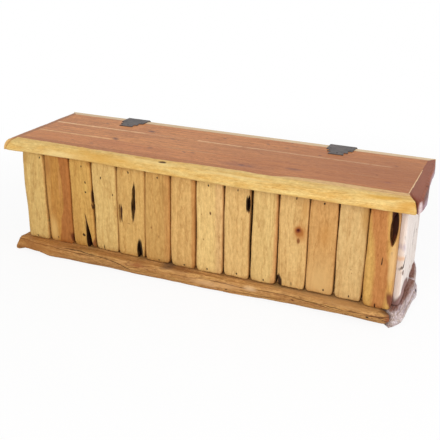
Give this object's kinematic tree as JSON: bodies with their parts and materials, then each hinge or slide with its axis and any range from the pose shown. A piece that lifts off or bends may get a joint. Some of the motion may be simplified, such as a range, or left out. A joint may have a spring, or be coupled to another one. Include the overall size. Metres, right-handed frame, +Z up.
{
  "type": "storage bench",
  "caption": "Long cedar bench with a hinged seat lid over a storage chest walled with split log slabs on a live-edge base.",
  "frame": {"origin": "on the floor, under the middle of the bench", "axes": "+X along the bench to the right end, +Y from the front towards the hinged back, +Z up"},
  "size_m": [1.524, 0.4829, 0.4483],
  "materials": {
    "cedar_heartwood": "oiled satin",
    "cedar_live_edge": "oiled satin",
    "peeled_cedar": "oiled satin",
    "weathered_cedar": "oiled satin",
    "sawn_cedar": "bare sawn",
    "black_iron": "dark matt",
    "steel_fixings": "dark satin"
  },
  "bodies": {
    "chest": {"base_front": "weathered_cedar", "base_rear": "weathered_cedar", "base_left": "weathered_cedar", "base_right": "weathered_cedar", "floor_boards": "sawn_cedar", "corner_posts": "sawn_cedar", "front_top_rail": "sawn_cedar", "front_bottom_rail": "sawn_cedar", "rear_top_rail": "sawn_cedar", "rear_bottom_rail": "sawn_cedar", "left_top_rail": "sawn_cedar", "left_bottom_rail": "sawn_cedar", "right_top_rail": "sawn_cedar", "right_bottom_rail": "sawn_cedar", "front_slab_01": "peeled_cedar", "front_slab_02": "peeled_cedar", "front_slab_03": "peeled_cedar", "front_slab_04": "peeled_cedar", "front_slab_05": "peeled_cedar", "front_slab_06": "peeled_cedar", "front_slab_07": "peeled_cedar", "front_slab_08": "peeled_cedar", "front_slab_09": "peeled_cedar", "front_slab_10": "peeled_cedar", "front_slab_11": "peeled_cedar", "front_slab_12": "peeled_cedar", "front_slab_13": "peeled_cedar", "front_slab_14": "peeled_cedar", "left_slab_01": "peeled_cedar", "left_slab_02": "peeled_cedar", "left_slab_03": "peeled_cedar", "left_slab_04": "peeled_cedar", "right_slab_01": "peeled_cedar", "right_slab_02": "peeled_cedar", "right_slab_03": "peeled_cedar", "right_slab_04": "peeled_cedar", "back_board_1": "sawn_cedar", "back_board_2": "sawn_cedar", "back_board_3": "sawn_cedar", "hinge_back_leaf_left": "black_iron", "hinge_back_leaf_right": "black_iron", "hinge_pin_left": "steel_fixings", "hinge_pin_right": "steel_fixings", "hinge_back_screws": "steel_fixings"},
    "lid": {"lid_front_strip": "cedar_live_edge", "lid_rear_strip": "cedar_live_edge", "lid_left_strip": "cedar_live_edge", "lid_right_strip": "cedar_live_edge", "lid_board_front": "cedar_heartwood", "lid_board_middle": "cedar_heartwood", "lid_board_rear": "cedar_heartwood", "lid_battens": "sawn_cedar", "hinge_lid_leaf_left": "black_iron", "hinge_lid_leaf_right": "black_iron", "hinge_lid_screws": "steel_fixings"}
  },
  "joints": [
    {"name": "lid_hinge", "type": "hinge", "parent": "chest", "child": "lid", "pos_m": [0, 0.23465, 0.4403], "axis": [-1, 0, 0], "range_deg": [0, 105]}
  ]
}
